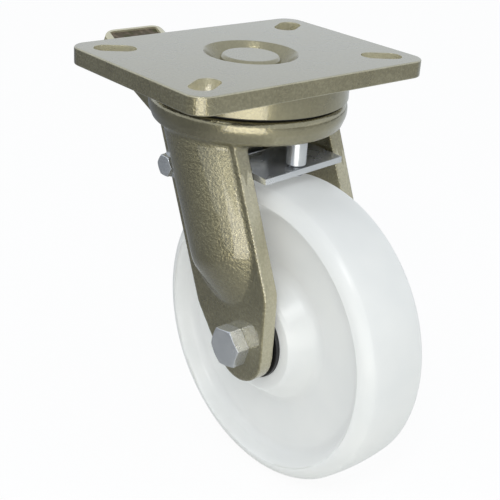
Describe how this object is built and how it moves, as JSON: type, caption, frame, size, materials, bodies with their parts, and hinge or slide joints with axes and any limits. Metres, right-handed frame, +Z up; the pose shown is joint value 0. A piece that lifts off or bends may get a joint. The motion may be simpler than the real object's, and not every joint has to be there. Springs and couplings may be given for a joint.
{
  "type": "swivel castor",
  "caption": "Heavy-duty top-plate swivel castor with a raked forged fork, a solid white wheel on ball bearings and a leading foot brake.",
  "frame": {"origin": "middle of the top plate's upper face, on the swivel axis", "axes": "+Z up out of the top plate, +X the leading side with the brake pedal, wheel trailing to -X, +Y the side of the axle bolt's head"},
  "size_m": [0.2883, 0.185, 0.2697],
  "materials": {
    "bronze_paint": "fine hammered bronze-grey metallic paint",
    "zinc_plate": "bright zinc plate",
    "bearing_steel": "ground and hardened steel",
    "black_rubber": "moulded matt rubber",
    "black_plastic": "moulded satin plastic",
    "white_polyamide": "turned and moulded satin plastic"
  },
  "bodies": {
    "plate": {"top_plate": "bronze_paint", "kingpin": "bronze_paint", "kingpin_nut": "zinc_plate", "lower_cup": "bearing_steel", "dust_seal": "black_rubber"},
    "swivel_balls": {"upper_balls": "bearing_steel", "lower_balls": "bearing_steel"},
    "fork": {"fork": "bronze_paint", "axle_bolt": "zinc_plate", "axle_nut": "zinc_plate", "axle_washer": "zinc_plate", "axle_sleeve": "bearing_steel", "bearing_spacer": "bearing_steel", "near_spacer_ring": "zinc_plate", "far_spacer_ring": "zinc_plate", "near_inner_ring": "bearing_steel", "far_inner_ring": "bearing_steel", "pivot_bolt": "zinc_plate", "pivot_nut": "zinc_plate", "pivot_washers": "zinc_plate", "pivot_sleeve": "zinc_plate", "shoe_stud": "zinc_plate"},
    "wheel": {"wheel": "white_polyamide", "near_outer_ring": "bearing_steel", "far_outer_ring": "bearing_steel", "near_bearing_seal": "black_rubber", "far_bearing_seal": "black_rubber", "near_dust_cap": "black_plastic", "far_dust_cap": "black_plastic"},
    "bearing_balls": {"near_balls": "bearing_steel", "far_balls": "bearing_steel", "near_cage": "bearing_steel", "far_cage": "bearing_steel"},
    "pedal": {"brake_pedal": "bronze_paint", "brake_cam": "zinc_plate"},
    "shoe": {"brake_shoe": "zinc_plate"}
  },
  "joints": [
    {"name": "swivel", "type": "hinge", "parent": "plate", "child": "fork", "pos_m": [0, 0, 0], "axis": [0, 0, 1], "continuous": true},
    {"name": "swivel_ball_roll", "type": "hinge", "parent": "plate", "child": "swivel_balls", "pos_m": [0, 0, 0], "axis": [0, 0, 1], "continuous": true},
    {"name": "wheel_spin", "type": "hinge", "parent": "fork", "child": "wheel", "pos_m": [-0.0537, 0, -0.1698], "axis": [0, 1, 0], "continuous": true},
    {"name": "bearing_ball_roll", "type": "hinge", "parent": "fork", "child": "bearing_balls", "pos_m": [-0.0537, 0, -0.1698], "axis": [0, 1, 0], "continuous": true},
    {"name": "brake_pedal", "type": "hinge", "parent": "fork", "child": "pedal", "pos_m": [0.016, 0, -0.0708], "axis": [0, 1, 0], "range_deg": [0, 30]},
    {"name": "brake_shoe", "type": "hinge", "parent": "fork", "child": "shoe", "pos_m": [-0.051, 0, -0.0606], "axis": [0, 1, 0], "range_deg": [0, 5.1]}
  ],
  "couplings": [
    {"joint": "swivel_ball_roll", "follows": "swivel", "ratio": 0.5},
    {"joint": "bearing_ball_roll", "follows": "wheel_spin", "ratio": 0.618},
    {"joint": "brake_shoe", "follows": "brake_pedal", "ratio": 0.169}
  ]
}
